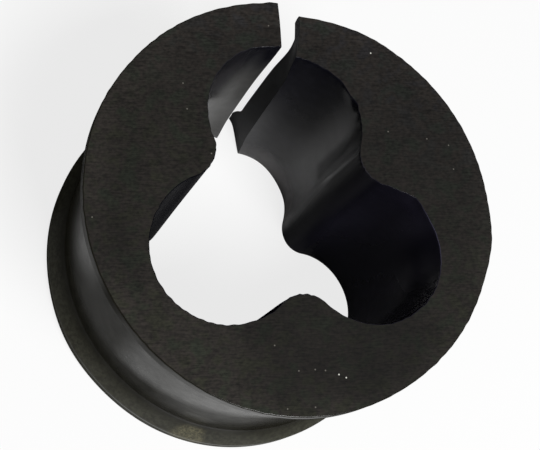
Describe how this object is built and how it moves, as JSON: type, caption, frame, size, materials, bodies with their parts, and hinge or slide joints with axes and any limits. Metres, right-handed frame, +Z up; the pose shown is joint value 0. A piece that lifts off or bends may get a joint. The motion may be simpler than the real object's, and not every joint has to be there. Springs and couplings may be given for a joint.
{
  "type": "rubber spacer",
  "caption": "Split rubber spool with a trefoil bore that holds parallel tubes apart inside a ring or bracket; one jaw stands sprung open at the cut.",
  "frame": {"origin": "where the spool's axis meets its bottom face", "axes": "+Z up along the spool's axis, +Y towards the cut, +X to the right seen from the cut's far side"},
  "size_m": [0.0408, 0.0413, 0.028],
  "materials": {
    "rubber": "matt black moulded rubber, trimmed dull on the end faces and a little smoother in the bore and the waist"
  },
  "bodies": {
    "root": {"rubber_spacer": "rubber"}
  },
  "joints": []
}
